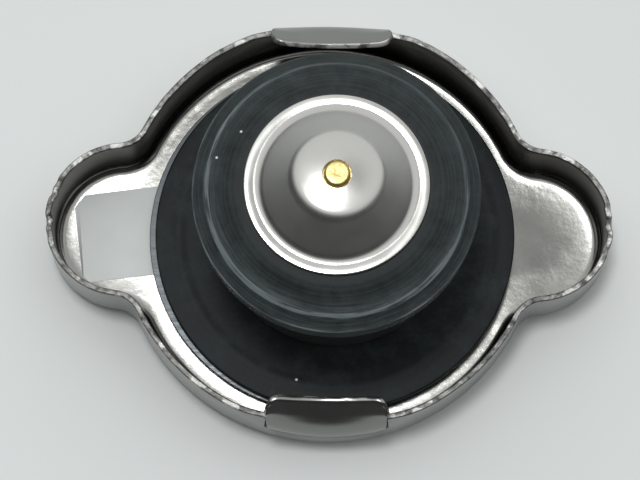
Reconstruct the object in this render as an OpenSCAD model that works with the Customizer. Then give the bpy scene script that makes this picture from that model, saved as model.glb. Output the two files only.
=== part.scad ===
// Bayonet radiator cap with a sprung pressure valve and a vacuum valve.
// The cap lies on its crown with the valve side up: Z points from the crown to the valve,
// X runs through the two thumb ears and Y through the two locking lugs. All sizes in millimetres.

/* [Shell] */
// Outside diameter of the round skirt
shell_d = 55.5; // [50:0.5:62]
// Height of the skirt from the crown's face to the sheared rim
shell_h = 10.2; // [8.6:0.1:13]
// Sheet thickness of the stamped shell
sheet_t = 0.8; // [0.7:0.05:1]
// Outside radius of the bend between crown and skirt
crown_bend = 1.7; // [1.4:0.1:2.6]
// Distance over both thumb ears
ear_span = 74.4; // [70:0.2:80]
// Radius of an ear's rounded end
ear_r = 10.4; // [9.6:0.1:11]
// Radius of the hollow between ear and skirt
ear_fillet = 3.8; // [3:0.1:5]
// Depth of the round recess that takes the rivet's head
recess_depth = 1; // [0.9:0.1:1.2]

/* [Locking lugs] */
// Width of a lug along its fold
lug_w = 15.4; // [12:0.2:18]
// Length of a lug from its fold to the free edge
lug_len = 5; // [3.6:0.1:5.6]
// Angle by which a lug is folded inward out of the upright skirt
lug_turn = 42; // [30:1:60]
// Depth of the fold below the rim
lug_drop = 2.5; // [2:0.1:3]
// Rise of a lug's two ends over its middle
lug_arch = 0.7; // [0:0.1:1.2]
// Corner radius of the free edge
lug_corner = 1.8; // [1:0.1:2.4]
// Relief slit between a lug and the rim beside it
lug_slit = 0.5; // [0.4:0.1:1.2]

/* [Upper seal] */
// Diameter of the steel spring disc that backs the rubber
disc_d = 47.7; // [44:0.1:48.4]
// Thickness of the spring disc
disc_t = 0.4; // [0.3:0.05:0.5]
// Diameter of the rubber disc that seals on the filler neck
upper_seal_d = 47.7; // [44:0.1:48.4]
// Thickness of the rubber disc
upper_seal_t = 1.2; // [1:0.1:1.6]
// Sideways play of the valve group on the rivet, as it rests
valve_shift = 0.8; // [0:0.1:1]

/* [Pressure valve] */
// Height of the rubber's outer edge over the crown's face
seal_edge_z = 25.4; // [24:0.1:28]
// Diameter of the rubber pressure seal
seal_d = 36.2; // [34:0.1:38]
// Height of the seal's side wall below its outer edge
seal_side_h = 3.8; // [3.4:0.1:4]
// Outside diameter of the bell that houses the spring
bell_d = 30.8; // [29:0.1:32]
// Travel of the pressure valve towards the crown
pressure_travel = 3.2; // [2.6:0.1:3.4]
// Wire diameter of the pressure spring
spring_wire = 1.6; // [1.3:0.1:1.7]
// Turns of the pressure spring
spring_turns = 4.25; // [3.5:0.25:4.5]
// Windows in the bell's wall
bell_windows = 4; // [3:1:5]

/* [Vacuum valve] */
// Diameter of the domed vacuum plate
plate_d = 23.1; // [21:0.1:24]
// Height of the dome over the plate's flat edge
dome_h = 4.7; // [4.4:0.1:5.2]
// Diameter of the brass stem
stem_d = 3.2; // [2.8:0.1:3.4]
// Height by which the stem's end stands over the dome
stem_proud = 0.4; // [0.2:0.1:0.6]
// Travel of the vacuum valve away from the crown
vacuum_travel = 2; // [1.4:0.1:2.1]

/* [Label] */
// Length of the blank label in the ear
label_l = 15.2; // [10:0.2:16]
// Width of the blank label
label_w = 12; // [8:0.5:13]
// Turn of the label out of the ear's axis
label_turn = 8; // [-10:1:10]

/* [Hidden] */
$fn = 96;

// How far a cutter reaches past the face it opens, and the play left between faces that rest.
over = 1;
rest_gap = 0.1;

// Plan of the shell: skirt circle, ear circles and the hollow circles that just cut both.
shell_r = shell_d / 2;
ear_x = ear_span / 2 - ear_r;
hollow_cut = 0.05;
hollow_out = shell_r + ear_fillet - hollow_cut;
ear_out = ear_r + ear_fillet - hollow_cut;
hollow_x = (pow(hollow_out, 2) - pow(ear_out, 2) + pow(ear_x, 2)) / (2 * ear_x);
hollow_y = sqrt(pow(hollow_out, 2) - pow(hollow_x, 2));

// Recess in the crown's middle, with a sloping flank.
recess_r = 9.5;
recess_flank = 1.6;

// Folded lugs: the bend starts above the slit's floor, and the root sinks a little into the skirt.
lug_bend = 1.8;
lug_inset = 0.3;
lug_fold_y = shell_r - lug_inset;
lug_fold_z = shell_h - lug_drop;
lug_flat = 0.5;
lug_upright = 1.4;
lug_root_z = lug_fold_z - lug_bend * tan(lug_turn / 2) - lug_upright;
lug_sink = 0.4;
lug_seam = 0.03;
lug_slices = 14;
lug_arc_steps = 5;

// Stack on the rivet, upward from the crown.
disc_z = sheet_t + recess_depth + rest_gap / 2;
upper_z = disc_z + disc_t + rest_gap;
bell_z = upper_z + upper_seal_t;
bell_t = 0.7;
bell_r = bell_d / 2;
washer_t = 0.5;
washer_z = bell_z + bell_t;
rivet_head_z = washer_z + washer_t + rest_gap;
rivet_head_h = 1.3;
rivet_r = 3;
rivet_head_r = 6.2;
bell_hole_r = rivet_r + valve_shift + rest_gap;

// Pressure valve: the cup's flange sits in the seal's groove, the bell's lip ends below the seal.
seal_r = seal_d / 2;
seal_floor_z = seal_edge_z - seal_side_h;
seal_foot_t = 1.4;
seal_wall_t = 1.7;
seal_bore_r = 8.4;
seat_rise = 2.8;
seat_z = seal_edge_z + seat_rise;
flange_t = 0.7;
flange_z = seal_floor_z + seal_foot_t;
flange_r = seal_r - seal_wall_t;
stop_gap = 0.4;
bell_top_z = seal_floor_z - pressure_travel - stop_gap;
seat_t = 0.8;
seat_play = 0.9;
seat_r = bell_r - bell_t - seat_play;
spring_r = 11;
spring_top_z = bell_top_z - bell_t - rest_gap - seat_t;
cup_r = 8;
cup_t = 0.7;
cup_foot = 0.4;
cup_floor_z = spring_top_z - cup_foot;

// Vacuum valve: the plate rests on the seal, the stem runs in the cup's floor.
plate_t = 0.6;
plate_z = seat_z + rest_gap;
plate_top_z = plate_z + plate_t;
plate_r = plate_d / 2;
plate_hole_play = 0.23;
plate_hole_r = stem_d / 2 + plate_hole_play;
stem_r = stem_d / 2;
stem_tail = 6.1;
stem_end_z = cup_floor_z - stem_tail;
clip_z = stem_end_z + 0.3;
clip_t = 0.8;
clip_r = 3.7;
vacuum_wire = 0.6;
vacuum_turns = 3.75;
vacuum_spring_r = 2.9;

// Dome of the vacuum plate: a hollow bend inside the flat edge, a cone, a shoulder and a slightly
// domed cap. The hollow bend's circle cuts a little into the flat and the cone.
dome_slope = 45;
cap_slope = 10;
valley_r = 0.9 * plate_r;
cone_r = 0.787 * plate_r;
valley_bend = (valley_r - cone_r) / sin(dome_slope);
valley_cut = 0.05;
cone_z = plate_top_z + valley_bend * (1 - cos(dome_slope));
shoulder_bend = 1.4;
shoulder_out = sin(dome_slope) - sin(cap_slope);
shoulder_up = cos(cap_slope) - cos(dome_slope);
dome_top_z = plate_top_z + dome_h;
cap_r = (cone_z + (cone_r - shoulder_bend * shoulder_out) * tan(dome_slope)
         + shoulder_bend * shoulder_up - dome_top_z) / (tan(dome_slope) - tan(cap_slope / 2));
cap_ball = cap_r / sin(cap_slope);
cap_ball_z = dome_top_z - cap_ball;
shoulder_x = cap_r - shoulder_bend * sin(cap_slope);
shoulder_z = cap_ball_z + (cap_ball - shoulder_bend) * cos(cap_slope);

function arch_y(x) = sqrt(shell_r * shell_r - x * x);

// Corner of the fold in the slice at x, half flattened against the round of the skirt.
function lug_fold(x) = [lug_fold_y - (1 - lug_flat) * (shell_r - arch_y(x)),
                        lug_fold_z + lug_arch * pow(2 * x / lug_w, 2)];

// Length of the lug in the slice at x, shortened by the rounded corners.
function lug_reach(x) =
    let (over = max(0, abs(x) - lug_w / 2 + lug_corner))
    lug_len - lug_corner + sqrt(max(0, pow(lug_corner, 2) - over * over));

// One side of the bent sheet in the slice at x: root, bend, free edge.
function lug_side(x, root_y, r, inset) =
    let (corner = lug_fold(x),
         centre = corner - [lug_bend, lug_bend * tan(lug_turn / 2)],
         tip = corner + lug_reach(x) * [-sin(lug_turn), cos(lug_turn)])
    concat([[x, root_y, lug_root_z - lug_sink], [x, root_y, lug_root_z + lug_seam]],
           [for (k = [0 : lug_arc_steps])
               let (a = lug_turn * k / lug_arc_steps)
               [x, centre[0] + r * cos(a), centre[1] + r * sin(a)]],
           [[x, tip[0] - inset * cos(lug_turn), tip[1] - inset * sin(lug_turn)]]);

// Points of a round wire along a helix of n turns between two heights.
function coil_points(r, wire, z0, z1, turns, steps, sides) =
    [for (i = [0 : steps])
        let (a = 360 * turns * i / steps,
             z = z0 + wire / 2 + (z1 - z0 - wire) * i / steps)
        for (j = [0 : sides - 1])
            let (b = 360 * j / sides)
            [(r + wire / 2 * cos(b)) * cos(a), (r + wire / 2 * cos(b)) * sin(a), z + wire / 2 * sin(b)]];

// Triangles of a tube whose rings follow each other, closed at both ends.
function tube_faces(rings, sides) =
    concat([for (i = [0 : rings - 2], j = [0 : sides - 1])
               let (k = (j + 1) % sides)
               each [[i * sides + j, (i + 1) * sides + k, (i + 1) * sides + j],
                     [i * sides + j, i * sides + k, (i + 1) * sides + k]]],
           [for (j = [1 : sides - 2]) [0, j + 1, j]],
           [for (j = [1 : sides - 2])
               let (e = (rings - 1) * sides)
               [e, e + j, e + j + 1]]);

// Half section of a round block whose lower edge is rounded, drawn inward by inset.
module block_section(r, inset) {
    bend = crown_bend - inset;
    translate([0, inset]) square([r - crown_bend, shell_h]);
    translate([0, crown_bend]) square([r - inset, shell_h + inset - crown_bend]);
    translate([r - crown_bend, crown_bend]) circle(r = bend, $fn = 48);
}

// Half section of the cutter that forms a hollow, with the bend's flare at its foot.
module hollow_section(inset) {
    bend = crown_bend - inset;
    translate([0, -over]) square([ear_fillet + inset, shell_h + 3 * over]);
    difference() {
        translate([0, inset - over]) square([ear_fillet + crown_bend, crown_bend + over - inset]);
        translate([ear_fillet + crown_bend, crown_bend]) circle(r = bend, $fn = 48);
    }
}

// Solid form of the shell, drawn inward by inset all round: skirt, two ears and the hollows between.
module block(inset) {
    web = [[0, 0], [hollow_x, hollow_y], [ear_x, 0], [hollow_x, -hollow_y]];
    rotate_extrude() block_section(shell_r, inset);
    for (turn = [0, 180])
        rotate(turn) {
            translate([ear_x, 0, 0]) rotate_extrude() block_section(ear_r, inset);
            difference() {
                translate([0, 0, inset]) linear_extrude(shell_h) polygon(web);
                for (side = [-1, 1])
                    translate([hollow_x, side * hollow_y, 0]) rotate_extrude() hollow_section(inset);
            }
        }
}

// One folded lug at +Y.
module lug() {
    slice_x = [for (i = [0 : lug_slices]) -lug_w / 2 * cos(180 * i / lug_slices)];
    per_side = lug_arc_steps + 4;
    points = [for (x = slice_x)
        each concat(lug_side(x, arch_y(x) - lug_seam, lug_bend, 0),
                    [for (k = [per_side - 1 : -1 : 0])
                        lug_side(x, arch_y(x) - sheet_t + lug_seam, lug_bend - sheet_t, sheet_t)[k]])];
    ring = 2 * per_side;
    last = lug_slices * ring;
    walls = [for (i = [0 : lug_slices - 1], j = [0 : ring - 1])
        let (k = (j + 1) % ring)
        each [[i * ring + j, (i + 1) * ring + j, (i + 1) * ring + k],
              [i * ring + j, (i + 1) * ring + k, i * ring + k]]];
    ends = [for (j = [0 : per_side - 2])
        let (o = ring - 1 - j)
        each [[j, o - 1, o], [j, j + 1, o - 1],
              [last + j, last + o, last + o - 1], [last + j, last + o - 1, last + j + 1]]];
    polyhedron(points, concat(walls, ends), convexity = 4);
}

// Stamped shell: recessed crown, bent skirt with two ears, relief slits and two folded lugs.
module shell() {
    flank_r = recess_r - recess_flank;
    color("silver") {
        difference() {
            union() {
                difference() {
                    block(0);
                    block(sheet_t);
                }
                cylinder(r1 = recess_r + sheet_t, r2 = flank_r + sheet_t, h = recess_depth + sheet_t);
            }
            translate([0, 0, -over]) cylinder(r = recess_r, h = over);
            cylinder(r1 = recess_r, r2 = flank_r, h = recess_depth);
            cylinder(r = rivet_r, h = recess_depth + sheet_t + over);
            translate([-shell_d, -shell_d, shell_h]) cube([2 * shell_d, 2 * shell_d, shell_h]);
            for (turn = [0, 180])
                rotate(turn)
                    translate([-lug_w / 2 - lug_slit, shell_r / 2, lug_root_z])
                        cube([lug_w + 2 * lug_slit, shell_r, shell_h]);
        }
        for (turn = [0, 180]) rotate(turn) lug();
    }
}

// Steel rivet: flat head in the crown's recess, shank, and an upset head over the bell.
module rivet() {
    sink = 0.15;
    chamfer = 0.35;
    slope = 1.2;
    head_rim = 0.4;
    head_top_z = rivet_head_z + rivet_head_h;
    color("gainsboro")
        rotate_extrude()
            polygon([[0, sink], [rivet_head_r - slope, sink],
                     [rivet_head_r, sink + chamfer], [rivet_head_r, recess_depth],
                     [rivet_r, recess_depth], [rivet_r, rivet_head_z],
                     [rivet_head_r, rivet_head_z], [rivet_head_r, rivet_head_z + head_rim],
                     [rivet_head_r - slope, head_top_z], [0, head_top_z]]);
}

// Thin spring steel disc that backs the rubber, clamped on the rivet's shank.
module spring_disc() {
    color("lightgray")
        translate([0, 0, disc_z])
            difference() {
                cylinder(d = disc_d, h = disc_t);
                translate([0, 0, -over]) cylinder(r = rivet_r, h = disc_t + 2 * over);
            }
}

// Blank label stuck inside one ear, its outer corners trimmed to the ear's flat floor.
module label() {
    label_t = 0.1;
    label_reach = 6.7;
    label_aside = 0.3;
    color("whitesmoke")
        translate([-ear_x, 0, sheet_t])
            intersection() {
                rotate(label_turn)
                    translate([-label_reach, label_aside - label_w / 2, 0])
                        cube([label_l, label_w, label_t]);
                union() {
                    translate([0, 0, -over]) cylinder(r = ear_r - crown_bend, h = 2 * over);
                    translate([0, -label_w, -over]) cube([label_l, 2 * label_w, 2 * over]);
                }
            }
}

// Rubber disc with a low, rounded ring near its edge and a wide hole round the rivet.
module upper_seal() {
    bore_r = 9;
    ring_r = 0.87 * upper_seal_d / 2;
    ring_half_w = 1.1;
    ring_rise = 0.15;
    ring_round = (pow(ring_half_w, 2) + pow(ring_rise, 2)) / (2 * ring_rise);
    color("dimgray")
        translate([valve_shift, 0, upper_z])
            difference() {
                union() {
                    cylinder(d = upper_seal_d, h = upper_seal_t);
                    rotate_extrude()
                        intersection() {
                            translate([ring_r, upper_seal_t + ring_rise - ring_round])
                                circle(r = ring_round, $fn = 128);
                            translate([ring_r - 2 * ring_half_w, upper_seal_t / 2])
                                square([4 * ring_half_w, upper_seal_t]);
                        }
                }
                translate([0, 0, -over]) cylinder(r = bore_r, h = upper_seal_t + 3 * over);
            }
}

// Drawn bell: floor with the rivet's hole, windowed wall and a lip turned in at the top.
module bell() {
    corner = 1.4;
    lip_r = 11.6;
    lip_z = bell_top_z - bell_z - bell_t;
    color("silver")
        translate([valve_shift, 0, bell_z])
            difference() {
                rotate_extrude()
                    difference() {
                        bell_blank(0, corner);
                        bell_blank(bell_t, corner);
                        translate([0, -over]) square([bell_hole_r, bell_t + 2 * over]);
                        translate([0, lip_z - over]) square([lip_r, bell_t + 2 * over]);
                    }
                for (i = [0 : bell_windows - 1])
                    rotate(45 + 360 / bell_windows * i) bell_window();
            }
}

// Half section of the bell's solid form, drawn inward by inset.
module bell_blank(inset, corner) {
    top = bell_top_z - bell_z - inset;
    r = corner - inset;
    edge = bell_r - inset;
    translate([0, inset]) square([edge - r, top - inset]);
    translate([0, inset + r]) square([edge, top - inset - 2 * r]);
    for (z = [inset + r, top - r])
        translate([edge - r, z]) circle(r = r, $fn = 32);
}

// Upright opening with rounded corners through the bell's wall.
module bell_window() {
    window_w = 5;
    corner = window_w / 4;
    low = 0.3 * (bell_top_z - bell_z);
    high = 0.7 * (bell_top_z - bell_z);
    rotate([90, 0, 90])
        linear_extrude(bell_r + over) {
            translate([-window_w / 2, low]) square([window_w, high - low]);
            translate([-corner, low - corner]) square([2 * corner, high - low + 2 * corner]);
            for (side = [-1, 1], z = [low, high])
                translate([side * corner, z]) circle(r = corner, $fn = 24);
        }
}

// Plain washer between the bell's floor and the rivet's upset head.
module bell_washer() {
    border = 0.6;
    color("darkgray")
        translate([valve_shift, 0, washer_z])
            difference() {
                cylinder(r = rivet_head_r + valve_shift + border, h = washer_t);
                translate([0, 0, -over]) cylinder(r = bell_hole_r, h = washer_t + 2 * over);
            }
}

// Pressure spring between the bell's floor and the spring seat.
module main_spring() {
    steps = round(spring_turns * 22);
    sides = 10;
    points = coil_points(spring_r, spring_wire, washer_z, spring_top_z, spring_turns, steps, sides);
    color("slategray")
        translate([valve_shift, 0, 0])
            polyhedron(points, tube_faces(steps + 1, sides), convexity = 8);
}

// Drawn valve cup: seal flange, wall with a shoulder, floor with the stem's bore and flow holes.
module valve_cup() {
    wall_r = cup_r - cup_t;
    wall_h = flange_z + flange_t - cup_floor_z;
    shoulder_z = spring_top_z + seat_t;
    shoulder_r = cup_r + 1.2;
    shoulder_h = 0.5;
    root_r = cup_r - cup_t / 2;
    bore_play = 0.05;
    flow_holes = 4;
    flow_d = 2.4;
    flow_r = 4.75;
    color("silver")
        translate([valve_shift, 0, 0])
            difference() {
                rotate_extrude() {
                    translate([wall_r, flange_z]) square([flange_r - wall_r, flange_t]);
                    translate([wall_r, cup_floor_z]) square([cup_t, wall_h]);
                    translate([0, cup_floor_z]) square([cup_r, cup_t]);
                    polygon([[root_r, shoulder_z], [shoulder_r, shoulder_z],
                             [shoulder_r, shoulder_z + shoulder_h],
                             [root_r, shoulder_z + shoulder_h + shoulder_r - root_r]]);
                }
                translate([0, 0, cup_floor_z - over])
                    cylinder(r = stem_r + bore_play, h = cup_t + 2 * over);
                for (i = [0 : flow_holes - 1])
                    rotate(45 + 360 / flow_holes * i)
                        translate([flow_r, 0, cup_floor_z - over])
                            cylinder(d = flow_d, h = cup_t + 2 * over, $fn = 32);
            }
}

// Flat ring on the cup that the pressure spring pushes against the bell's lip.
module spring_seat() {
    color("silver")
        translate([valve_shift, 0, spring_top_z])
            difference() {
                cylinder(r = seat_r, h = seat_t);
                translate([0, 0, -over]) cylinder(r = cup_r, h = seat_t + 2 * over);
            }
}

// Moulded pressure seal: wraps the cup's flange, slopes up from its edge to the vacuum valve's seat.
module lower_seal() {
    grip = 1.9;
    foot_r = flange_r - grip;
    wall_r = seal_r - 0.15;
    chamfer = 0.3;
    slope_r = seal_r - 0.9;
    slope_z = seal_edge_z + 0.35;
    ridge_r = seal_r - 1.95;
    ridge_z = seal_edge_z + 1.25;
    ridge_bead = 0.75;
    ridge_sink = 0.4;
    land_r = plate_r + 1.2;
    color("dimgray")
        translate([valve_shift, 0, 0])
            rotate_extrude()
                difference() {
                    union() {
                        polygon([[seal_bore_r, flange_z + flange_t], [foot_r, flange_z],
                                 [foot_r, seal_floor_z + chamfer], [foot_r + chamfer, seal_floor_z],
                                 [wall_r - chamfer, seal_floor_z], [wall_r, seal_floor_z + chamfer],
                                 [wall_r, seal_edge_z - chamfer], [seal_r, seal_edge_z - chamfer / 2],
                                 [seal_r, seal_edge_z], [slope_r, slope_z], [ridge_r, ridge_z],
                                 [land_r, seat_z], [seal_bore_r + chamfer, seat_z],
                                 [seal_bore_r, seat_z - chamfer]]);
                        translate([ridge_r, ridge_z - ridge_sink]) circle(r = ridge_bead, $fn = 32);
                    }
                    translate([0, flange_z]) square([flange_r, flange_t]);
                }
}

// Half section of all that lies under one face of the vacuum plate, drawn inward by inset.
module plate_form(inset, edge, base) {
    bend = shoulder_bend - inset;
    cap_z = shoulder_z + bend * cos(cap_slope);
    difference() {
        union() {
            translate([0, base]) square([edge, plate_top_z - inset - base]);
            polygon([[0, base], [valley_r, base], [valley_r, plate_top_z - inset],
                     [cone_r - inset * sin(dome_slope), cone_z - inset * cos(dome_slope)],
                     [shoulder_x + bend * sin(dome_slope), shoulder_z + bend * cos(dome_slope)],
                     [shoulder_x + bend * sin(cap_slope), cap_z], [0, cap_z]]);
            translate([shoulder_x, shoulder_z]) circle(r = bend, $fn = 64);
            intersection() {
                translate([0, cap_ball_z]) circle(r = cap_ball - inset, $fn = 360);
                translate([0, cap_z]) square(cap_r);
            }
        }
        translate([valley_r, plate_top_z + valley_bend])
            circle(r = valley_bend + inset + valley_cut, $fn = 64);
    }
}

// Domed vacuum plate: flat edge, hollow bend, cone, shoulder and a cap with the stem's hole.
module vacuum_plate() {
    color("silver")
        translate([valve_shift, 0, 0])
            rotate_extrude()
                difference() {
                    plate_form(0, plate_r, plate_z - over);
                    plate_form(plate_t, plate_r + over, plate_z - 2 * over);
                    translate([0, plate_z - over]) square([plate_hole_r, dome_h + 3 * over]);
                }
}

// Brass stem with a chamfered end that stands a little over the dome, and a collar under the cap.
module stem() {
    chamfer = 0.35;
    collar_r = 3.2;
    collar_h = 1;
    top_z = dome_top_z + stem_proud;
    under_cap = sqrt(pow(cap_ball - plate_t, 2) - pow(collar_r, 2));
    collar_z = cap_ball_z + under_cap - rest_gap / 2;
    color("goldenrod")
        translate([valve_shift, 0, 0]) {
            translate([0, 0, stem_end_z]) cylinder(r = stem_r, h = top_z - chamfer - stem_end_z);
            translate([0, 0, top_z - chamfer])
                cylinder(r1 = stem_r, r2 = stem_r - chamfer, h = chamfer);
            translate([0, 0, collar_z - collar_h]) cylinder(r = collar_r, h = collar_h);
        }
}

// Light spring that draws the vacuum plate onto its seat.
module vacuum_spring() {
    steps = round(vacuum_turns * 18);
    sides = 8;
    low_z = clip_z + clip_t;
    points = coil_points(vacuum_spring_r, vacuum_wire, low_z, cup_floor_z, vacuum_turns, steps, sides);
    color("lightgray")
        translate([valve_shift, 0, 0])
            polyhedron(points, tube_faces(steps + 1, sides), convexity = 8);
}

// Clip ring fixed near the stem's inner end.
module stem_clip() {
    color("darkgray")
        translate([valve_shift, 0, clip_z])
            difference() {
                cylinder(r = clip_r, h = clip_t);
                translate([0, 0, -over]) cylinder(r = stem_r, h = clip_t + 2 * over);
            }
}

shell();
rivet();
spring_disc();
label();
upper_seal();
bell();
bell_washer();
main_spring();
valve_cup();
spring_seat();
lower_seal();
vacuum_plate();
stem();
vacuum_spring();
stem_clip();
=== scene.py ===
from math import asin, atan2, copysign, cos, exp, pi, radians, sin, sqrt, tan

import bmesh
import bpy
from mathutils import Matrix, Vector, noise


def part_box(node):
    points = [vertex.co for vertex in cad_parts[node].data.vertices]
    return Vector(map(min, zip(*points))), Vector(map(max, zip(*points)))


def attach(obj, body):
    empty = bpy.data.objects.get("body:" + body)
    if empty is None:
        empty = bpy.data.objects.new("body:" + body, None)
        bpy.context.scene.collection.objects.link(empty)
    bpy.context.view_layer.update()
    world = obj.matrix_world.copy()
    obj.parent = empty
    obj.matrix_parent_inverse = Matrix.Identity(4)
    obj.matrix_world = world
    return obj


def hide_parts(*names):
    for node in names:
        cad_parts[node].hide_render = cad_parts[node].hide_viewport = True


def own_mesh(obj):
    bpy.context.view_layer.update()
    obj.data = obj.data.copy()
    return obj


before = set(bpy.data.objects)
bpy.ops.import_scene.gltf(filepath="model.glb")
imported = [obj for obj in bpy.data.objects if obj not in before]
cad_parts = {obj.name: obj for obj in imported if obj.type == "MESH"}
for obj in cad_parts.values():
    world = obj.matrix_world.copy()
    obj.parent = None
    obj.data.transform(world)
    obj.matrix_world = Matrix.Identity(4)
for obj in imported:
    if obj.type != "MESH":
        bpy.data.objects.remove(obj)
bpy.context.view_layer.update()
mm = 0.001


# Shell: one stamping of bright plated sheet steel, with a round skirt, two thumb ears and a recessed crown.
# Two tongues of the skirt stand free between slits and are folded inward, as the lugs that lock the cap.
shell_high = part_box("shell")[1]
skirt_r = shell_high.y
skirt_low_z = 4 * mm
rim_z = 10.2 * mm
rim_round = 0.22 * mm
sheet = 0.8 * mm
crown_bend = 2.2 * mm
crown_rise = radians(3.8)
crown_dish = 5.5 * mm
recess_r = 9.5 * mm
recess_floor_r = 7.9 * mm
recess_z = 1 * mm
rivet_r = 3 * mm
ear_r = 10.4 * mm
ear_x = shell_high.x - ear_r
ear_floor_x = 22 * mm
ear_floor_run = 6 * mm
hollow_r = 3.8 * mm
same_point = 1e-7
hair = 1e-6

lug_half = 7.7 * mm
lug_slit = 0.35 * mm
lug_corner = 1.9 * mm
lug_turn = radians(46)
lug_bent = 0.6
lug_length = 8 * mm
lug_arch = 1.4 * mm
lug_spread = 0.015
lug_root_z = 5.6 * mm
lug_height = rim_z - lug_root_z
lip_lengths = (0.15 * mm, 0.55 * mm)
far_lip_turns = (lug_turn, lug_turn)
near_lip_turns = (radians(76), radians(94))
lip_uneven = radians(18)
lip_wave = 1.7 * mm
lip_seed = 5

wall_low_z = 2.7 * mm
wall_inset = 0.08 * mm
# Each wave has a length and a height.
wall_waves = ((5 * mm, 0.05 * mm), (1.3 * mm, 0.03 * mm))
rim_rows = (0.4 * mm, 0.6 * mm)
rim_lower = 0.06 * mm
rim_waves = ((1.6 * mm, 0.12 * mm), (0.7 * mm, 0.08 * mm))
# Each nick has the ear it is on, its place across the ear, its width and its depth.
rim_nicks = ((1, 0.3 * mm, 0.8 * mm, 0.55 * mm), (1, 2 * mm, 0.6 * mm, 0.2 * mm),
             (1, -3.4 * mm, 0.6 * mm, 0.2 * mm), (-1, -0.5 * mm, 0.65 * mm, 0.45 * mm),
             (-1, -2.2 * mm, 0.6 * mm, 0.2 * mm), (-1, 3.4 * mm, 0.55 * mm, 0.3 * mm),
             (-1, 4.8 * mm, 0.6 * mm, 0.2 * mm))
slit_pull = 0.35 * mm
slit_pull_run = 2.2 * mm
slit_close = 0.22 * mm
slit_close_run = 1.5 * mm


def draw_rim(bm):
    """Draws a quarter of the rim, from the lug's middle to the ear's tip, and mirrors it to all four."""
    hollow_out = skirt_r + hollow_r
    hollow_x = (hollow_out ** 2 - (ear_r + hollow_r) ** 2 + ear_x ** 2) / (2 * ear_x)
    hollow_y = sqrt(hollow_out ** 2 - hollow_x ** 2)
    lug_angle = asin(lug_half / skirt_r)
    slit_angle = asin((lug_half + lug_slit) / skirt_r)
    skirt_angle = atan2(hollow_x, hollow_y)
    hollow_angle = Vector((-hollow_x, -hollow_y)).angle(Vector((ear_x - hollow_x, -hollow_y)))
    ear_angle = atan2(hollow_y, hollow_x - ear_x)
    skirt_centre = (0, 0, rim_z)
    hollow_centre = (hollow_x, hollow_y, rim_z)
    ear_centre = (ear_x, 0, rim_z)
    arcs = ((skirt_centre, -lug_angle, 24), (skirt_centre, lug_angle - slit_angle, 1),
            (skirt_centre, slit_angle - skirt_angle, 70), (hollow_centre, hollow_angle, 20),
            (ear_centre, -ear_angle, 90))
    point = bm.verts.new((0, skirt_r, rim_z))
    for centre, angle, steps in arcs:
        arc = bmesh.ops.spin(bm, geom=[point], cent=centre, axis=(0, 0, 1), angle=angle, steps=steps)
        point = [part for part in arc["geom_last"] if isinstance(part, bmesh.types.BMVert)][0]
    for axis in ("X", "Y"):
        everything = bm.verts[:] + bm.edges[:]
        bmesh.ops.mirror(bm, geom=everything, matrix=Matrix(), merge_dist=same_point, axis=axis)


def extrude_loop(bm, edges):
    """Extrudes a loop of edges; returns the new points and the new loop."""
    new = bmesh.ops.extrude_edge_only(bm, edges=edges)["geom"]
    points = [part for part in new if isinstance(part, bmesh.types.BMVert)]
    loop = [part for part in new if isinstance(part, bmesh.types.BMEdge) and part.is_boundary]
    return points, loop


def draw_down(bm, edges, place):
    """Extrudes a loop of edges and puts each new point where place says; returns the new loop."""
    points, loop = extrude_loop(bm, edges)
    for point in points:
        point.co = place(point.co)
    return loop


def draw_in(bm, edges, outward, step, z, rise):
    """Extrudes a loop inward by a step, square to the wall, and takes a rise off outside the ears."""
    points, loop = extrude_loop(bm, edges)
    for point in points:
        beside = [edge.other_vert(point) for edge in point.link_edges]
        source = [other for other in beside if other in outward and other.co == point.co][0]
        outward[point] = outward[source]
        point.co -= step * outward[point]
        in_ear = min(1, max(0, (abs(point.co.x) - ear_floor_x) / ear_floor_run))
        point.co.z = z - rise * (1 - in_ear)
    return loop


def follow_lug(way, steps=48):
    """Follows the lug's section for a way along it: upright at the root, bent softly, then straight."""
    inward, up = 0, 0
    for step in range(steps):
        ease = min(1, way * (step + 0.5) / steps / (lug_bent * lug_length))
        turn = lug_turn * ease ** 2 * (3 - 2 * ease)
        inward += way / steps * sin(turn)
        up += way / steps * cos(turn)
    return inward, up


def fold_lug(point):
    """Moves a point of an upright tongue to its place on the folded lug; the near lug's lip is turned."""
    side = 1 if point.y > 0 else -1
    share = (point.z - lug_root_z) / lug_height
    arch = sqrt(skirt_r ** 2 - point.x ** 2)
    beyond = max(0, abs(point.x) - lug_half + lug_corner)
    cut = lug_corner - sqrt(max(0, lug_corner ** 2 - beyond ** 2))
    lip_edge, lip_start = (1 - row / lug_height for row in rim_rows)
    run = min(1, share / lip_start)
    way = run * (lug_length - sum(lip_lengths)) - cut * max(0, (run - lug_bent) / (1 - lug_bent))
    inward, up = follow_lug(way)
    lip_turns = far_lip_turns
    if side < 0:
        uneven = lip_uneven * noise.noise(Vector((point.x / lip_wave, lip_seed, side)))
        lip_turns = (near_lip_turns[0], near_lip_turns[1] + uneven)
    for length, begins, turn in zip(lip_lengths, (lip_start, lip_edge), lip_turns):
        if share > begins + hair:
            inward += length * sin(turn)
            up += length * cos(turn)
    ease = min(1, share / lug_bent)
    y = arch - inward + (skirt_r - arch) * ease
    z = lug_root_z + up + lug_arch * (point.x / lug_half) ** 2 * ease
    return Vector((point.x * (1 + lug_spread * ease), side * y, z))


def waver(point, waves):
    """Adds up soft random waves of given lengths and heights at a point."""
    return sum(noise.noise(point / length) * height for length, height in waves)


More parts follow.
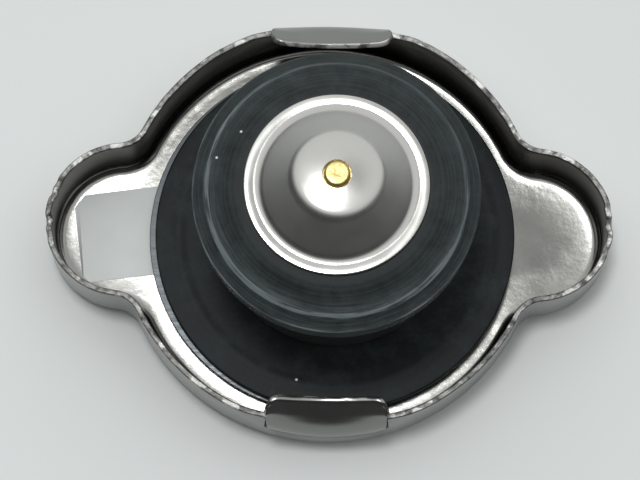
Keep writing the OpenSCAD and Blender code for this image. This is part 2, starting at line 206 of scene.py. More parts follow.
def press_rim(point):
    """Pulls the rim in beside the slits and towards them, leaves it uneven and nicks the ears' tips."""
    height = max(0, (point.z - lug_root_z) / lug_height)
    flat = Vector((point.x, point.y, 0))
    pull, close = 0, 0
    if abs(point.y) > ear_r:
        beside = abs(abs(point.x) - lug_half - lug_slit)
        pull = slit_pull * height ** 2 * exp(-(beside / slit_pull_run) ** 2)
        close = slit_close * height * exp(-(beside / slit_close_run) ** 2)
    nick = 0
    for side, y, width, depth in rim_nicks:
        if side * point.x > ear_x:
            nick += depth * height ** 5 * exp(-((point.y - y) / width) ** 2)
    inward = wall_inset + waver(point, wall_waves) * height + pull + nick
    up = waver(flat, rim_waves) * height ** 6 - rim_lower * height - nick / 2
    return point - flat.normalized() * inward + Vector((-copysign(close, point.x), 0, up))


dish_steps = 5
dish = [(crown_bend + (crown_dish - crown_bend) * step / dish_steps, crown_rise * (1 - step / dish_steps))
        for step in range(dish_steps + 1)]
drops = [(far - near) * tan((a + b) / 2) for (near, a), (far, b) in zip(dish, dish[1:])]
dish_z = sum(drops)
bend_z = crown_bend * cos(crown_rise) + dish_z
upper_rows = 22
depths = [rim_rows[0]]
depths += [rim_rows[1] + (lug_height - rim_rows[1]) * row / upper_rows for row in range(upper_rows + 1)]
bm = bmesh.new()
draw_rim(bm)
loop = bm.edges[:]
for z in [rim_z - depth for depth in depths] + [skirt_low_z, bend_z]:
    loop = draw_down(bm, loop, lambda p: Vector((p.x, p.y, z)))
bmesh.ops.recalc_face_normals(bm, faces=bm.faces)
bm.normal_update()
outward = {}
for v in {v for edge in loop for v in edge.verts}:
    flat = v.normal.to_2d().normalized().to_3d()
    outward[v] = flat if flat.dot(v.co) > 0 else -flat
bend_steps = 9
bend_turns = [(radians(90) - crown_rise) * step / bend_steps for step in range(1, bend_steps + 1)]
floor = [(crown_bend * (1 - cos(turn)), bend_z - crown_bend * sin(turn)) for turn in bend_turns]
floor += [(dish[step][0], sum(drops[step:])) for step in range(1, dish_steps + 1)]
inset = 0
for reach, z in floor:
    loop = draw_in(bm, loop, outward, reach - inset, z, min(z, dish_z))
    inset = reach
for r, z in ((recess_r, 0), (recess_floor_r, recess_z), (rivet_r, recess_z)):
    loop = draw_down(bm, loop, lambda p: Vector((p.x, p.y, 0)).normalized() * r + Vector((0, 0, z)))
bmesh.ops.recalc_face_normals(bm, faces=bm.faces)


def on_upper_skirt(place, near, far):
    """Tells whether a place lies on the upper skirt, between two distances from a lug's middle."""
    return near < abs(place.x) < far and abs(place.y) > ear_r and place.z > lug_root_z


tongue = {v for v in bm.verts if on_upper_skirt(v.co, -hair, lug_half + hair)}
slit_faces = [f for f in bm.faces
              if on_upper_skirt(f.calc_center_median(), lug_half, lug_half + lug_slit)]
bmesh.ops.delete(bm, geom=slit_faces, context="FACES")
for v in bm.verts:
    if v in tongue:
        v.co = fold_lug(v.co)
    elif v.co.z > wall_low_z:
        v.co = press_rim(v.co)


def add_piece(name, bm, body, node):
    """Makes a smooth object from a bmesh, lets it ride on a body and stand for a CAD node."""
    mesh = bpy.data.meshes.new(name)
    bm.to_mesh(mesh)
    bm.free()
    mesh.shade_smooth()
    piece = bpy.data.objects.new(name, mesh)
    bpy.context.scene.collection.objects.link(piece)
    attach(piece, body)
    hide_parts(node)
    return piece


shell = add_piece("shell_sheet", bm, "shell_body", "shell")
thickness = shell.modifiers.new("sheet_thickness", "SOLIDIFY")
thickness.thickness = sheet
thickness.offset = -1
thickness.use_even_offset = True
thickness.material_offset_rim = 1
thickness.material_offset = 2
rounding = shell.modifiers.new("rounded_edges", "BEVEL")
rounding.width = rim_round
rounding.segments = 3
rounding.limit_method = "ANGLE"
rounding.angle_limit = radians(40)
rounding.use_clamp_overlap = False


def start_material(name, colour, metallic, roughness):
    """A new material with its shader's plain values set; returns the material and its shader."""
    material = bpy.data.materials.new(name)
    material.use_nodes = True
    shader = material.node_tree.nodes["Principled BSDF"]
    shader.inputs["Base Color"].default_value = (*colour, 1)
    shader.inputs["Metallic"].default_value = metallic
    shader.inputs["Roughness"].default_value = roughness
    return material, shader


def feed(shader, name, source):
    """Links a socket into one of the shader's inputs."""
    shader.id_data.links.new(source, shader.inputs[name])


def add_node(material, kind, links=(), **values):
    """Adds a node, sets its properties and inputs by name, and links sockets into its inputs."""
    node = material.node_tree.nodes.new(kind)
    for name, value in values.items():
        socket = node.inputs.get(name.replace("_", " "))
        if socket is None:
            setattr(node, name, value)
        else:
            socket.default_value = value
    for name, source in links:
        material.node_tree.links.new(source, node.inputs[name])
    return node


def place_on(material):
    """The place on the piece, in its own coordinates."""
    return add_node(material, "ShaderNodeTexCoord").outputs["Object"]


def split(material, source, axis):
    """One coordinate of a place or a direction."""
    return add_node(material, "ShaderNodeSeparateXYZ", [("Vector", source)]).outputs[axis]


def add_noise(material, place, scale, detail, roughness=0.5):
    """A soft random pattern over the piece."""
    pattern = add_node(material, "ShaderNodeTexNoise", [("Vector", place)], Scale=scale, Detail=detail,
                       Roughness=roughness)
    return pattern.outputs["Fac"]


def spread(material, source, low, high, in_low=0.3, in_high=0.7):
    """Maps a value from one span to another."""
    span = add_node(material, "ShaderNodeMapRange", [("Value", source)], From_Min=in_low, From_Max=in_high,
                    To_Min=low, To_Max=high)
    return span.outputs["Result"]


def combine(material, operation, *sources, use_clamp=False):
    """Makes one value from one or two others."""
    links = list(enumerate(sources))
    node = add_node(material, "ShaderNodeMath", links, operation=operation, use_clamp=use_clamp)
    return node.outputs["Value"]


def blend_colours(material, share, dark, pale):
    """Mixes two colours by a value; the mix node keeps its colour sockets after those for other data."""
    mix = add_node(material, "ShaderNodeMix", [("Factor", share)], data_type="RGBA")
    mix.inputs[6].default_value = (*dark, 1)
    mix.inputs[7].default_value = (*pale, 1)
    return mix.outputs[2]


def add_bump(material, shader, height, strength, distance):
    """Gives the shader a fine relief."""
    bump = add_node(material, "ShaderNodeBump", [("Height", height)], Strength=strength, Distance=distance)
    feed(shader, "Normal", bump.outputs["Normal"])


def plate_sheet(name, crown, wall_dull_and_shaded, smooth, rough, dent):
    """Bright plating on rolled sheet, finely grained and a little wavy, rougher on the drawn walls, whose
    darker colour is partly duller metal and partly painted shade.
    """
    plating, shader = start_material(name, crown, metallic=1, roughness=rough)
    place = place_on(plating)
    # Above the crown the walls take the darker wall colour: duller drawn metal and painted shade.
    drawn = spread(plating, split(plating, place, "Z"), 0, 1, in_low=1.5 * mm, in_high=2.6 * mm)
    stained = spread(plating, add_noise(plating, place, scale=170, detail=6, roughness=0.65), 0, 0.45)
    stains_and_wall_shade = combine(plating, "MAXIMUM", drawn, stained)
    feed(shader, "Base Color", blend_colours(plating, stains_and_wall_shade, crown, wall_dull_and_shaded))
    feed(shader, "Roughness", spread(plating, stains_and_wall_shade, smooth, rough, in_low=0, in_high=1))
    deeper = spread(plating, drawn, 1, dent, in_low=0, in_high=1)
    dented = combine(plating, "MULTIPLY", add_noise(plating, place, scale=420, detail=2), deeper)
    grain = add_noise(plating, place, scale=2000, detail=4, roughness=0.7)
    relief = combine(plating, "ADD", dented, spread(plating, grain, 0, 0.4, in_low=0, in_high=1))
    add_bump(plating, shader, relief, strength=0.25, distance=0.1 * mm)
    return plating


# The outer wall's darker colour is painted shade from the close shadow at the cap's foot, besides duller
# drawn metal.
shell.data.materials.append(plate_sheet("outer_plating_wall_shade", crown=(0.34, 0.344, 0.33),
                                        wall_dull_and_shaded=(0.27, 0.274, 0.263), smooth=0.2, rough=0.25, dent=0.5))

# The sheared edge is torn and pitted, rubbed bright in places and most of all on the lugs.
sheared, shader = start_material("sheared_edge", (0.2, 0.2, 0.19), metallic=1, roughness=0.4)
place = place_on(sheared)
tears = add_noise(sheared, place, scale=700, detail=8, roughness=0.75)
rubs = add_noise(sheared, place, scale=380, detail=3, roughness=0.6)
pits = spread(sheared, tears, 0.08, 0.5, in_low=0.4, in_high=0.6)
shine = spread(sheared, rubs, 0, 0.65, in_low=0.54, in_high=0.6)
aside = combine(sheared, "ABSOLUTE", split(sheared, place, "X"))
on_lug = spread(sheared, aside, 1, 0, in_low=lug_half - 0.4 * mm, in_high=lug_half)
polished = combine(sheared, "MULTIPLY", on_lug, spread(sheared, rubs, 0.1, 1, in_low=0.42, in_high=0.5))
worn = combine(sheared, "ADD", pits, combine(sheared, "MAXIMUM", shine, polished), use_clamp=True)
feed(shader, "Base Color", blend_colours(sheared, worn, (0.03, 0.03, 0.028), (0.68, 0.68, 0.66)))
feed(shader, "Roughness", combine(sheared, "MAXIMUM", spread(sheared, tears, 0.5, 0.3),
                                  spread(sheared, polished, 0, 0.65, in_low=0, in_high=1)))
add_bump(sheared, shader, tears, strength=0.7, distance=0.3 * mm)
shell.data.materials.append(sheared)

# The inner walls' darker colour is likewise partly painted shade.
shell.data.materials.append(plate_sheet("inner_plating_wall_shade", crown=(0.302, 0.306, 0.29),
                                        wall_dull_and_shaded=(0.21, 0.202, 0.19), smooth=0.16, rough=0.34, dent=3))


# Rivet: a plain steel rivet through the crown, headed over inside the bell, that carries the valve group.
# It shows only in the crown's recess, so its CAD form stays, with smooth round faces.
def smooth_copy(name, node, body):
    """Copies a CAD node, joins its loose triangles and shades its round faces smooth."""
    bm = bmesh.new()
    bm.from_mesh(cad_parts[node].data)
    bmesh.ops.remove_doubles(bm, verts=bm.verts, dist=same_point)
    piece = add_piece(name, bm, body, node)
    piece.data.materials.clear()
    piece.data.set_sharp_from_angle(angle=radians(35))
    return piece


steel, shader = start_material("plain_steel", (0.56, 0.56, 0.55), metallic=1, roughness=0.32)
drawn = add_noise(steel, place_on(steel), scale=600, detail=2)
feed(shader, "Roughness", spread(steel, drawn, 0.27, 0.37))
add_bump(steel, shader, drawn, strength=0.05, distance=0.05 * mm)
rivet = smooth_copy("crown_rivet", "rivet", "shell_body")
rivet.data.materials.append(steel)


# Spring disc: a thin disc of rolled spring steel, clamped under the rubber to press it on the neck.
# Only a bright crescent of it shows, where the valve group rests to one side.
def turn_section(outline, axis_x, closed=True, steps=192):
    """Spins a half section of (radius, height, corner radius) points round an upright axis."""
    bm = bmesh.new()
    points = [bm.verts.new((axis_x + r, 0, z)) for r, z, corner in outline]
    ring = points + points[:1] if closed else points
    for a, b in zip(ring, ring[1:]):
        bm.edges.new((a, b))
    for size in sorted({corner for r, z, corner in outline if corner > 0}):
        corners = [p for p, (r, z, corner) in zip(points, outline) if corner == size]
        bmesh.ops.bevel(bm, geom=corners, offset=size, offset_type="OFFSET", segments=5, profile=0.5,
                        affect="VERTICES", material=-1)
    bmesh.ops.spin(bm, geom=bm.verts[:] + bm.edges[:], cent=(axis_x, 0, 0), axis=(0, 0, 1), angle=2 * pi,
                   steps=steps, use_merge=True)
    bmesh.ops.remove_doubles(bm, verts=bm.verts, dist=same_point)
    bmesh.ops.recalc_face_normals(bm, faces=bm.faces)
    return bm


disc_low, disc_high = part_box("spring_disc")
disc_r = disc_high.x
disc_edge = 0.1 * mm
bm = turn_section([(rivet_r, disc_low.z, 0), (disc_r, disc_low.z, disc_edge),
                   (disc_r, disc_high.z, disc_edge), (rivet_r, disc_high.z, 0)], axis_x=0)
disc = add_piece("spring_disc_sheet", bm, "shell_body", "spring_disc")
disc.data.set_sharp_from_angle(angle=radians(35))
rolled, shader = start_material("rolled_spring_steel", (0.088, 0.097, 0.102), metallic=1, roughness=0.4)
streaks = add_node(rolled, "ShaderNodeMapping", [("Vector", place_on(rolled))], Scale=(300, 4000, 300))
rolling = add_noise(rolled, streaks.outputs["Vector"], scale=1, detail=4)
feed(shader, "Roughness", spread(rolled, rolling, 0.33, 0.48))
add_bump(rolled, shader, rolling, strength=0.06, distance=0.05 * mm)
disc.data.materials.append(rolled)


# Label: a small film label stuck flat on the crown inside one ear, with its end under the disc.
# It is blank, has its outer corners trimmed to the ear's floor, and lies a little askew.
label = smooth_copy("blank_label", "label", "shell_body")
film, shader = start_material("label_film", (0.56, 0.59, 0.58), metallic=0, roughness=0.5)
place = place_on(film)
tint = spread(film, add_noise(film, place, scale=180, detail=2), 0, 1)
feed(shader, "Base Color", blend_colours(film, tint, (0.62, 0.655, 0.645), (0.67, 0.705, 0.695)))
fibre = add_noise(film, place, scale=1500, detail=5, roughness=0.7)
add_bump(film, shader, fibre, strength=0.08, distance=0.05 * mm)
label.data.materials.append(film)


# Upper seal: a flat moulded rubber disc with a low ring near its edge, which seals on the neck's top.
# It lies loose on the spring disc, held by the bell, and has gathered a little pale dust.
seal_low, seal_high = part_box("upper_seal")
axis_x = (seal_low.x + seal_high.x) / 2
seal_r = seal_high.x - axis_x
ring_r = 0.87 * seal_r
ring_half = 1.1 * mm
ring_rise = 0.13 * mm
seal_top = seal_high.z - 0.15 * mm
seal_bore = 9 * mm
bm = turn_section([(seal_bore, seal_low.z, 0), (seal_r, seal_low.z, 0.2 * mm),
                   (seal_r, seal_top, 0.25 * mm), (ring_r + ring_half, seal_top, 0.3 * mm),
                   (ring_r, seal_top + ring_rise, 0.4 * mm), (ring_r - ring_half, seal_top, 0.3 * mm),
                   (seal_bore, seal_top, 0)], axis_x)
upper_seal = add_piece("upper_seal_disc", bm, "valve_body", "upper_seal")
upper_seal.data.set_sharp_from_angle(angle=radians(50))


def vector_math(material, operation, source, other=None):
    """Works on a vector, alone or with a fixed second one."""
    node = add_node(material, "ShaderNodeVectorMath", [(0, source)], operation=operation)
    if other is not None:
        node.inputs[1].default_value = other
    gives_number = operation in ("LENGTH", "DISTANCE", "DOT_PRODUCT")
    return node.outputs["Value" if gives_number else "Vector"]


def add_flecks(material, colour, points):
    """Lays small pale flecks of dirt over a colour, at points on the piece seen from above."""
    flat = vector_math(material, "MULTIPLY", place_on(material), (1, 1, 0))
    for x, y, size in points:
        away = vector_math(material, "DISTANCE", flat, (x, y, 0))
        fleck = spread(material, away, 1, 0, in_low=size / 2, in_high=size)
        mix = add_node(material, "ShaderNodeMix", [("Factor", fleck), (6, colour)], data_type="RGBA")
        mix.inputs[7].default_value = (0.7, 0.72, 0.72, 1)
        colour = mix.outputs[2]
    return colour


rubber, shader = start_material("black_rubber", (0.011, 0.0125, 0.013), metallic=0, roughness=0.45)
shader.inputs["Specular IOR Level"].default_value = 0.12
place = place_on(rubber)
dust = add_noise(rubber, place, scale=240, detail=6, roughness=0.75)
dusted = spread(rubber, dust, 0, 1, in_low=0.45, in_high=0.8)
pale_marked_colour = blend_colours(rubber, dusted, (0.01, 0.0135, 0.0142), (0.034, 0.045, 0.046))
feed(shader, "Base Color", add_flecks(rubber, pale_marked_colour, [(-4 * mm, -19.8 * mm, 0.22 * mm)]))
feed(shader, "Roughness", spread(rubber, dust, 0.4, 0.55))
pores = add_noise(rubber, place, scale=3200, detail=3, roughness=0.6)
add_bump(rubber, shader, pores, strength=0.15, distance=0.05 * mm)
upper_seal.data.materials.append(rubber)


# Bell and washer: a drawn steel bell with four windows, hung on the rivet by a plain washer.
# Its turned-in lip holds the spring seat; both keep their CAD form, with smooth round faces.
bell = smooth_copy("spring_bell", "bell", "valve_body")
washer = smooth_copy("bell_floor_washer", "bell_washer", "valve_body")
for piece in (bell, washer):
    piece.data.materials.append(steel)


# Pressure spring: a stout coil of bright spring wire between the bell's floor and the spring seat.
# It shows through the bell's windows; in use it shortens as the valve is pushed in, but here it is wound at
# one length with a mesh of its own.
def wind_spring(node, wire, turns, sides=14, steps_per_turn=48):
    """Winds a round wire into a coil that fills a CAD node's box."""
    low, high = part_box(node)
    coil_r = (high.x - low.x - wire) / 2
    start_x = high.x - wire / 2
    steps = round(turns * steps_per_turn)
    climb = (high.z - low.z - wire) / steps
    bm = bmesh.new()
    section = Matrix.Translation((start_x, 0, low.z + wire / 2)) @ Matrix.Rotation(pi / 2, 4, "X")
    bmesh.ops.create_circle(bm, cap_ends=True, radius=wire / 2, segments=sides, matrix=section)
    bmesh.ops.spin(bm, geom=bm.faces[:] + bm.edges[:] + bm.verts[:], cent=(start_x - coil_r, 0, 0),
                   axis=(0, 0, 1), dvec=(0, 0, climb), angle=2 * pi * turns, steps=steps)
    bmesh.ops.recalc_face_normals(bm, faces=bm.faces)
    return bm


bm = wind_spring("main_spring", wire=1.6 * mm, turns=4.25)
spring = add_piece("pressure_spring", bm, "valve_body", "main_spring")
spring.data.set_sharp_from_angle(angle=radians(50))
spring.data.materials.append(rolled)
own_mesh(spring)


# Valve cup and spring seat: drawn steel pieces inside the bell that carry the pressure seal.
# The cup's flange sits in the seal's groove and its floor guides the stem.
cup = smooth_copy("valve_cup_drawn", "valve_cup", "pressure_body")
seat = smooth_copy("spring_seat_ring", "spring_seat", "pressure_body")
for piece in (cup, seat):
    piece.data.materials.append(steel)


# Lower seal: a moulded black rubber ring that wraps the cup's flange and seals on the neck's inner seat.
# Its face slopes up to the vacuum plate; a ridge near the edge is scuffed pale by use and also carries a
# painted sheen, stronger towards the near left.
low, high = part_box("lower_seal")
edge_r = high.x - axis_x
floor_z = low.z
edge_z = floor_z + 3.8 * mm
seat_z = high.z
bore_r = 8.4 * mm
flange_r = edge_r - 1.7 * mm
foot_r = flange_r - 1.9 * mm
flange_z = floor_z + 1.4 * mm
flange_top = flange_z + 0.7 * mm
wall_r = edge_r - 0.15 * mm
step_r = edge_r - 0.9 * mm
step_z = edge_z + 0.35 * mm
ridge_r = edge_r - 1.95 * mm
ridge_z = edge_z + 1.35 * mm
slope_r = ridge_r - 0.9 * mm
slope_z = edge_z + 1.55 * mm
land_r = 12.75 * mm
edge_under = 0.35 * mm
edge_low = 0.2 * mm
edge_round = 0.08 * mm
bm = turn_section([(bore_r, flange_top, 0), (flange_r, flange_top, 0), (flange_r, flange_z, 0),
                   (foot_r, flange_z, 0), (foot_r, floor_z, 0.3 * mm), (wall_r, floor_z, 0.3 * mm),
                   (wall_r, edge_z - edge_under, 0.1 * mm), (edge_r, edge_z - edge_low, edge_round),
                   (edge_r, edge_z, edge_round), (step_r, step_z, 0.3 * mm),
                   (ridge_r, ridge_z, 0.4 * mm), (slope_r, slope_z, 0.3 * mm),
                   (land_r, seat_z, 0.8 * mm), (bore_r, seat_z, 0.3 * mm)], axis_x)
lower_seal = add_piece("lower_seal_ring", bm, "pressure_body", "lower_seal")
lower_seal.data.set_sharp_from_angle(angle=radians(50))

worn_rubber_painted_sheen, shader = start_material("worn_rubber_painted_sheen", (0.02, 0.022, 0.023), metallic=0, roughness=0.5)
shader.inputs["Specular IOR Level"].default_value = 0.15
place = place_on(worn_rubber_painted_sheen)
centred = add_node(worn_rubber_painted_sheen, "ShaderNodeMapping", [("Vector", place)],
                   Location=(-axis_x, 0, 0)).outputs["Vector"]
flat = vector_math(worn_rubber_painted_sheen, "MULTIPLY", centred, (1, 1, 0))
radius = vector_math(worn_rubber_painted_sheen, "LENGTH", flat)
around = vector_math(worn_rubber_painted_sheen, "NORMALIZE", flat)

# Pale rings by radius: the ridge ring is scuffing and also painted sheen; a fainter ring lies at the edge.
from_edge = spread(worn_rubber_painted_sheen, radius, 0, 1, in_low=edge_r - 4 * mm, in_high=edge_r)
ridge_scuff_and_sheen_rings = add_node(worn_rubber_painted_sheen, "ShaderNodeValToRGB", [("Fac", from_edge)])
for position, paleness in ((0.44, 0.12), (0.55, 1), (0.6, 0.7), (0.65, 0.08), (0.93, 0.05), (0.97, 0.45)):
    ridge_scuff_and_sheen_rings.color_ramp.elements.new(position).color = (paleness, paleness, paleness, 1)
ridge_scuff_and_sheen_rings.color_ramp.elements[0].color = (0, 0, 0, 1)
ridge_scuff_and_sheen_rings.color_ramp.elements[-1].color = (0.3, 0.3, 0.3, 1)
# Painted sheen: the scuffs are made paler towards the near left and fainter towards the far right.
near_left = (-0.5, -0.87, 0)
across = vector_math(worn_rubber_painted_sheen, "DOT_PRODUCT", centred, near_left)
rubbing_and_sheen_near_left = spread(worn_rubber_painted_sheen, across, 0.4, 3, in_low=-15 * mm, in_high=15 * mm)
scuff_and_painted_sheen = combine(worn_rubber_painted_sheen, "MULTIPLY", rubbing_and_sheen_near_left, ridge_scuff_and_sheen_rings.outputs["Color"])

on_face = spread(worn_rubber_painted_sheen, split(worn_rubber_painted_sheen, place, "Z"), 0.12, 1,
                 in_low=edge_z - edge_under, in_high=edge_z - 0.1 * mm)
rows_per_metre = 1400
rows = add_node(worn_rubber_painted_sheen, "ShaderNodeMath", [(0, radius)], operation="MULTIPLY")
rows.inputs[1].default_value = rows_per_metre
streaks = add_node(worn_rubber_painted_sheen, "ShaderNodeTexNoise", [("Vector", around), ("W", rows.outputs["Value"])],
                   noise_dimensions="4D", Scale=3, Detail=4, Roughness=0.62)
streaked = spread(worn_rubber_painted_sheen, streaks.outputs["Fac"], 0.06, 1, in_low=0.4, in_high=0.7)
streaked_scuff_and_sheen = combine(worn_rubber_painted_sheen, "MULTIPLY", scuff_and_painted_sheen, combine(worn_rubber_painted_sheen, "MULTIPLY", streaked, on_face))

dust = add_noise(worn_rubber_painted_sheen, place, scale=260, detail=7, roughness=0.78)
dusted = spread(worn_rubber_painted_sheen, dust, 0.02, 0.2, in_low=0.4, in_high=0.85)
wiped = add_node(worn_rubber_painted_sheen, "ShaderNodeTexNoise", [("W", radius)], noise_dimensions="1D", Scale=2600)
rings = spread(worn_rubber_painted_sheen, wiped.outputs["Fac"], 0, 0.08, in_low=0.45, in_high=0.8)
pale = combine(worn_rubber_painted_sheen, "ADD", dusted, rings)
# This pale colour holds dust, wipe rings, scuffs and the painted sheen on the ridge.
dust_scuffs_and_sheen = combine(worn_rubber_painted_sheen, "ADD", pale, streaked_scuff_and_sheen, use_clamp=True)
pale_marked_colour = blend_colours(worn_rubber_painted_sheen, dust_scuffs_and_sheen, (0.012, 0.016, 0.0168), (0.16, 0.19, 0.195))
specks = [(-11.2 * mm, 6.9 * mm, 0.2 * mm), (-14.2 * mm, 3.7 * mm, 0.2 * mm)]
feed(shader, "Base Color", add_flecks(worn_rubber_painted_sheen, pale_marked_colour, specks))
feed(shader, "Roughness", spread(worn_rubber_painted_sheen, dust, 0.4, 0.6))
add_bump(worn_rubber_painted_sheen, shader, dust, strength=0.15, distance=0.08 * mm)
lower_seal.data.materials.append(worn_rubber_painted_sheen)


# Vacuum plate: a bright stainless pressing that rests on the seal, with a flat edge, a hollow bend,
# a cone, a soft shoulder and a slightly domed cap with a hole for the stem.
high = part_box("vacuum_plate")[1]
plate_r = high.x - axis_x
plate_edge = 0.12 * mm
sheet_z = 0.6 * mm
hole_r = 1.83 * mm
slope = radians(45)
cap_slope = radians(10)
valley_r = 0.9 * plate_r
cone_r = 0.787 * plate_r
valley = (valley_r - cone_r) / sin(slope)
shoulder = 2.8 * mm
flat_top = high.z - 4.64 * mm
groove = 0.05 * mm
cone_z = flat_top + valley * (1 - cos(slope))
dome_top = flat_top + 4.7 * mm
shoulder_out = sin(slope) - sin(cap_slope)
shoulder_up = cos(cap_slope) - cos(slope)
cap_r = ((cone_z + (cone_r - shoulder * shoulder_out) * tan(slope) + shoulder * shoulder_up - dome_top)
         / (tan(slope) - tan(cap_slope / 2)))
cap_ball = cap_r / sin(cap_slope)
shoulder_z = dome_top - cap_ball + (cap_ball - shoulder) * cos(cap_slope)
hole_turn = asin(hole_r / cap_ball)
plate_steps = 12
cap_steps = 16
path = [(plate_r, flat_top, 0), (valley_r + 4 * groove, flat_top, 0)]
for step in range(plate_steps + 1):
    turn = slope * step / plate_steps
    path.append((valley_r - valley * sin(turn), flat_top - groove + valley * (1 - cos(turn)), turn))
for step in range(plate_steps + 1):
    turn = slope + (cap_slope - slope) * step / plate_steps
    path.append((cap_r + shoulder * (sin(turn) - sin(cap_slope)), shoulder_z + shoulder * cos(turn), turn))
for step in range(1, cap_steps + 1):
    turn = cap_slope + (hole_turn - cap_slope) * step / cap_steps
    path.append((cap_ball * sin(turn), dome_top - cap_ball * (1 - cos(turn)), turn))
front = [(r, z, 0) for r, z, turn in path]
back = [(r - sheet_z * sin(turn), z - sheet_z * cos(turn), 0) for r, z, turn in reversed(path)]
front[0] = (plate_r, flat_top, plate_edge)
back[0] = (hole_r, back[0][1], 0)
bm = turn_section(front + back, axis_x, steps=256)
plate = add_piece("vacuum_plate_pressing", bm, "vacuum_body", "vacuum_plate")
plate.data.set_sharp_from_angle(angle=radians(50))

stainless, shader = start_material("polished_stainless", (0.5, 0.5, 0.478), metallic=1, roughness=0.2)
place = place_on(stainless)
haze = add_noise(stainless, place, scale=300, detail=4)
facing = add_node(stainless, "ShaderNodeNewGeometry").outputs["Normal"]
steep = spread(stainless, split(stainless, facing, "Z"), 0.15, 0, in_low=0.75, in_high=0.97)
feed(shader, "Roughness", combine(stainless, "ADD", spread(stainless, haze, 0.17, 0.23), steep))
centred = add_node(stainless, "ShaderNodeMapping", [("Vector", place)], Location=(-axis_x, 0, 0))
lathe = add_node(stainless, "ShaderNodeTexWave", [("Vector", centred.outputs["Vector"])], wave_type="RINGS",
                 rings_direction="Z", Scale=900, Distortion=1.5, Detail=3)
add_bump(stainless, shader, lathe.outputs["Fac"], strength=0.012, distance=0.05 * mm)
plate.data.materials.append(stainless)


# Stem and clip: a turned brass stem through the plate's hole, with a chamfered end and a centre mark.
# A steel clip near its inner end holds the light vacuum spring against the cup's floor.
low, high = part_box("stem")
stem_r = 1.6 * mm
end_round = 0.12 * mm
mark_r = 0.45 * mm
mark_depth = 0.12 * mm
collar_r = high.x - axis_x
collar_round = 0.1 * mm
collar_top = high.z - 1.25 * mm
collar_low = collar_top - 1 * mm
bm = turn_section([(0, high.z - mark_depth, 0), (mark_r, high.z - 0.02 * mm, 0.05 * mm),
                   (stem_r - 0.2 * mm, high.z, end_round), (stem_r, high.z - 0.25 * mm, end_round),
                   (stem_r, collar_top, 0), (collar_r, collar_top, collar_round),
                   (collar_r, collar_low, collar_round), (stem_r, collar_low, 0),
                   (stem_r, low.z, 0.1 * mm), (0, low.z, 0)], axis_x, closed=False, steps=96)
stem = add_piece("vacuum_stem", bm, "vacuum_body", "stem")
stem.data.set_sharp_from_angle(angle=radians(35))
brass, shader = start_material("turned_brass", (0.6, 0.48, 0.21), metallic=1, roughness=0.35)
tool_marks = add_noise(brass, place_on(brass), scale=1800, detail=4, roughness=0.6)
feed(shader, "Roughness", spread(brass, tool_marks, 0.25, 0.5))
add_bump(brass, shader, tool_marks, strength=0.5, distance=0.15 * mm)
stem.data.materials.append(brass)
clip = smooth_copy("stem_clip_ring", "stem_clip", "vacuum_body")
clip.data.materials.append(steel)


# Vacuum spring: a light coil of thin wire between the clip and the cup's floor.
# In use it shortens towards the cup as the vacuum plate is drawn off its seat; here it is wound at one
# length with a mesh of its own.
bm = wind_spring("vacuum_spring", wire=0.6 * mm, turns=3.75)
coil = add_piece("vacuum_return_spring", bm, "pressure_body", "vacuum_spring")
coil.data.set_sharp_from_angle(angle=radians(50))
coil.data.materials.append(rolled)
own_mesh(coil)


# Floor: a plain pale table top that the cap lies on, crown down.
# It is smooth and evenly coloured, and reaches past the picture on all sides.
table_half = 1.5
bm = bmesh.new()
bmesh.ops.create_grid(bm, x_segments=1, y_segments=1, size=table_half)
mesh = bpy.data.meshes.new("table_top")
bm.to_mesh(mesh)
bm.free()
table = bpy.data.objects.new("table_top", mesh)
bpy.context.scene.collection.objects.link(table)
pale_table = start_material("pale_table", (0.69, 0.72, 0.715), metallic=0, roughness=0.5)[0]
table.data.materials.append(pale_table)


# Light: a pale ceiling with a dim patch overhead, dark towards the near and left walls of the room,
# and one round lamp almost straight above the cap, which gives the bright crown and the close shadow.
world = bpy.data.worlds.new("studio")
bpy.context.scene.world = world
world.use_nodes = True
direction = add_node(world, "ShaderNodeTexCoord").outputs["Generated"]


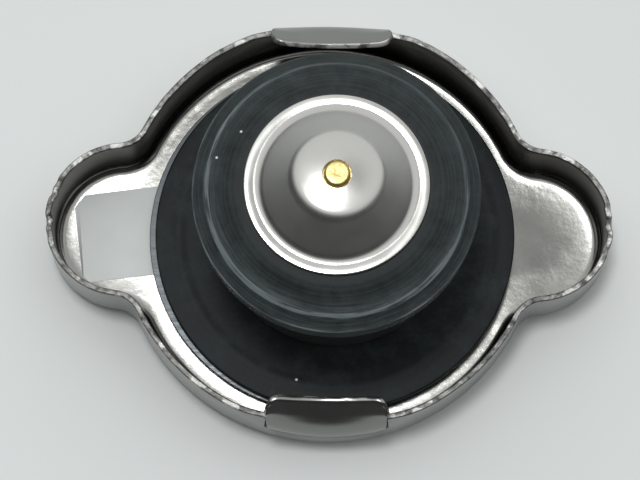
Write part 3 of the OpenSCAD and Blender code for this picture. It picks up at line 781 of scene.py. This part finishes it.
def ring_of_light(aim, stops):
    """A brightness that changes with the angle from a direction."""
    towards = vector_math(world, "DOT_PRODUCT", direction, Vector(aim).normalized())
    fall = add_node(world, "ShaderNodeValToRGB", [("Fac", towards)])
    for element, (cosine, brightness) in zip(fall.color_ramp.elements, stops):
        element.position = cosine
        element.color = (brightness, brightness, brightness, 1)
    return fall.outputs["Color"]


ceiling = ring_of_light((0.15, 0.62, 1), ((0.407, 0.06), (0.656, 1)))
dim_patch = ring_of_light((0.125, 0.25, 1), ((0.982, 1), (0.997, 0.42)))
lit = add_node(world, "ShaderNodeVectorMath", [(0, ceiling), (1, dim_patch)], operation="MULTIPLY")
background = world.node_tree.nodes["Background"]
background.inputs["Strength"].default_value = 1.0
feed(background, "Color", lit.outputs["Vector"])

lamp_away = 1.0
lamp_lean_x = radians(-5)
lamp_lean_y = radians(4.5)
lamp = bpy.data.lights.new("overhead_lamp", "AREA")
lamp.shape = "DISK"
lamp.size = 0.2
lamp.energy = 3.15
lamp_object = bpy.data.objects.new("overhead_lamp", lamp)
lamp_object.location = lamp_away * Vector((tan(lamp_lean_x), tan(lamp_lean_y), 1)).normalized()
lamp_object.rotation_euler = (-lamp_object.location).to_track_quat("-Z", "Y").to_euler()
bpy.context.scene.collection.objects.link(lamp_object)


# Camera: almost straight above the cap, leaning to the near side, as in the photograph.
# Its distance, lens and slight roll come from a fit to the outlines in the photograph.
picture_width = 640
focal_pixels = 2700
distance = 362 * mm
aim = Vector((-1.17 * mm, 0, 0))
lean = radians(14)
roll = radians(0.8)
camera_data = bpy.data.cameras.new("camera")
camera_data.sensor_width = 36
camera_data.lens = focal_pixels * camera_data.sensor_width / picture_width
camera = bpy.data.objects.new("camera", camera_data)
turned = Matrix.Rotation(lean, 4, "X") @ Matrix.Rotation(roll, 4, "Z")
camera.matrix_world = Matrix.Translation(aim + distance * Vector((0, -sin(lean), cos(lean)))) @ turned
bpy.context.scene.collection.objects.link(camera)
bpy.context.scene.camera = camera
bpy.context.scene.view_settings.view_transform = "Standard"
